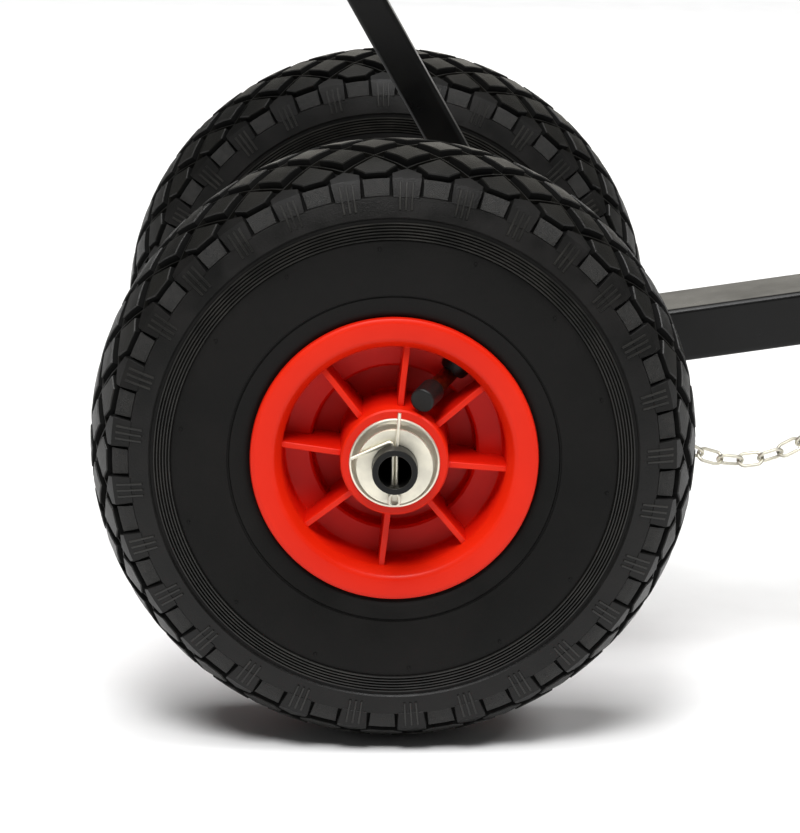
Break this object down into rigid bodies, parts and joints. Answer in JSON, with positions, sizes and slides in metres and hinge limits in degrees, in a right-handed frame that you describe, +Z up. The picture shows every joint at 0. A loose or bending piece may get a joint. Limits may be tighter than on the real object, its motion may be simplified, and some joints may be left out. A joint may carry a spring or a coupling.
{
  "type": "hand truck",
  "caption": "Two-wheeled hand truck on pneumatic tyres with red rims, a sloping load beam with hitch ball, a safety chain and a telescoping T-handle.",
  "frame": {"origin": "on the floor under the middle of the truck's bounding box, with the truck resting on its tyres and stand", "axes": "+X towards the load end, +Y along the axle to the left wheel, +Z up"},
  "size_m": [0.8744, 0.424, 0.9574],
  "materials": {
    "tyre_rubber": "moulded, dull",
    "tube_rubber": "smooth",
    "red_plastic": "satin moulded",
    "brass": "turned",
    "black_plastic": "moulded",
    "zinc_steel": "bright zinc",
    "bearing_steel": "ground",
    "chrome_steel": "polished",
    "black_steel": "black powder coat",
    "grip_rubber": "ribbed, dull"
  },
  "bodies": {
    "chassis": {"axle": "black_steel", "axle_washers": "zinc_steel", "right_split_pin": "zinc_steel", "left_split_pin": "zinc_steel", "axle_carrier": "black_steel", "axle_bushes": "black_plastic", "load_beam": "black_steel", "carrier_braces": "black_steel", "handle_post": "black_steel", "post_gussets": "black_steel", "post_plug": "black_plastic", "stand_bracket": "black_steel", "stand_bolt": "zinc_steel", "stand_nut": "zinc_steel", "chain_staples": "black_steel", "tongue_clamp_nut": "black_steel", "right_outer_bearing_cone": "bearing_steel", "right_inner_bearing_cone": "bearing_steel", "right_hub_sleeve": "zinc_steel", "left_outer_bearing_cone": "bearing_steel", "left_inner_bearing_cone": "bearing_steel", "left_hub_sleeve": "zinc_steel"},
    "right_wheel": {"right_tyre": "tyre_rubber", "right_inner_tube": "tube_rubber", "right_rim": "red_plastic", "right_valve_stem": "brass", "right_valve_cap": "black_plastic", "right_outer_bearing_cup": "zinc_steel", "right_inner_bearing_cup": "zinc_steel", "right_bearing_balls": "bearing_steel"},
    "left_wheel": {"left_tyre": "tyre_rubber", "left_inner_tube": "tube_rubber", "left_rim": "red_plastic", "left_valve_stem": "brass", "left_valve_cap": "black_plastic", "left_outer_bearing_cup": "zinc_steel", "left_inner_bearing_cup": "zinc_steel", "left_bearing_balls": "bearing_steel"},
    "handle": {"handle_pole": "black_steel", "pole_collar": "black_plastic", "handle_clamp_insert": "zinc_steel", "handle_tee": "black_steel", "handle_crossbar": "black_steel", "right_grip": "grip_rubber", "left_grip": "grip_rubber"},
    "handle_clamp": {"handle_clamp_screw": "zinc_steel", "handle_clamp_knob": "black_plastic"},
    "tongue_slide": {"tongue": "black_steel", "tongue_end_plug": "black_plastic", "hitch_plate": "black_steel", "hitch_ball": "chrome_steel", "hitch_spring_washer": "zinc_steel", "hitch_nut": "zinc_steel"},
    "tongue_clamp": {"tongue_clamp_screw": "zinc_steel", "tongue_clamp_knob": "black_plastic"},
    "prop_stand": {"stand_leg": "black_steel", "stand_foot": "grip_rubber"},
    "chain": {"chain_links": "zinc_steel"}
  },
  "joints": [
    {"name": "right_wheel_spin", "type": "hinge", "parent": "chassis", "child": "right_wheel", "pos_m": [-0.04576, -0.15, 0.13], "axis": [0, 1, 0], "continuous": true},
    {"name": "left_wheel_spin", "type": "hinge", "parent": "chassis", "child": "left_wheel", "pos_m": [-0.04576, 0.15, 0.13], "axis": [0, 1, 0], "continuous": true},
    {"name": "handle_height", "type": "slide", "parent": "chassis", "child": "handle", "axis": [-0.4939, 0, 0.8695], "range_m": [-0.15, 0.15]},
    {"name": "handle_clamp_turn", "type": "hinge", "parent": "handle", "child": "handle_clamp", "pos_m": [-0.12444, 0, 0.37806], "axis": [-0.8695, 0, -0.4939], "range_deg": [0, 180]},
    {"name": "tongue_extend", "type": "slide", "parent": "chassis", "child": "tongue_slide", "axis": [0.9888, 0, 0.1495], "range_m": [0, 0.12]},
    {"name": "tongue_clamp_turn", "type": "hinge", "parent": "chassis", "child": "tongue_clamp", "pos_m": [0.22912, -0.03, 0.17157], "axis": [0, -1, 0], "range_deg": [0, 180]},
    {"name": "prop_stand_fold", "type": "hinge", "parent": "chassis", "child": "prop_stand", "pos_m": [0.22174, 0, 0.14011], "axis": [0, -1, 0], "range_deg": [0, 95]},
    {"name": "chain_swing", "type": "hinge", "parent": "chassis", "child": "chain", "pos_m": [0.06006, 0, 0.12578], "axis": [0.9888, 0, 0.1495], "range_deg": [-60, 60]}
  ]
}
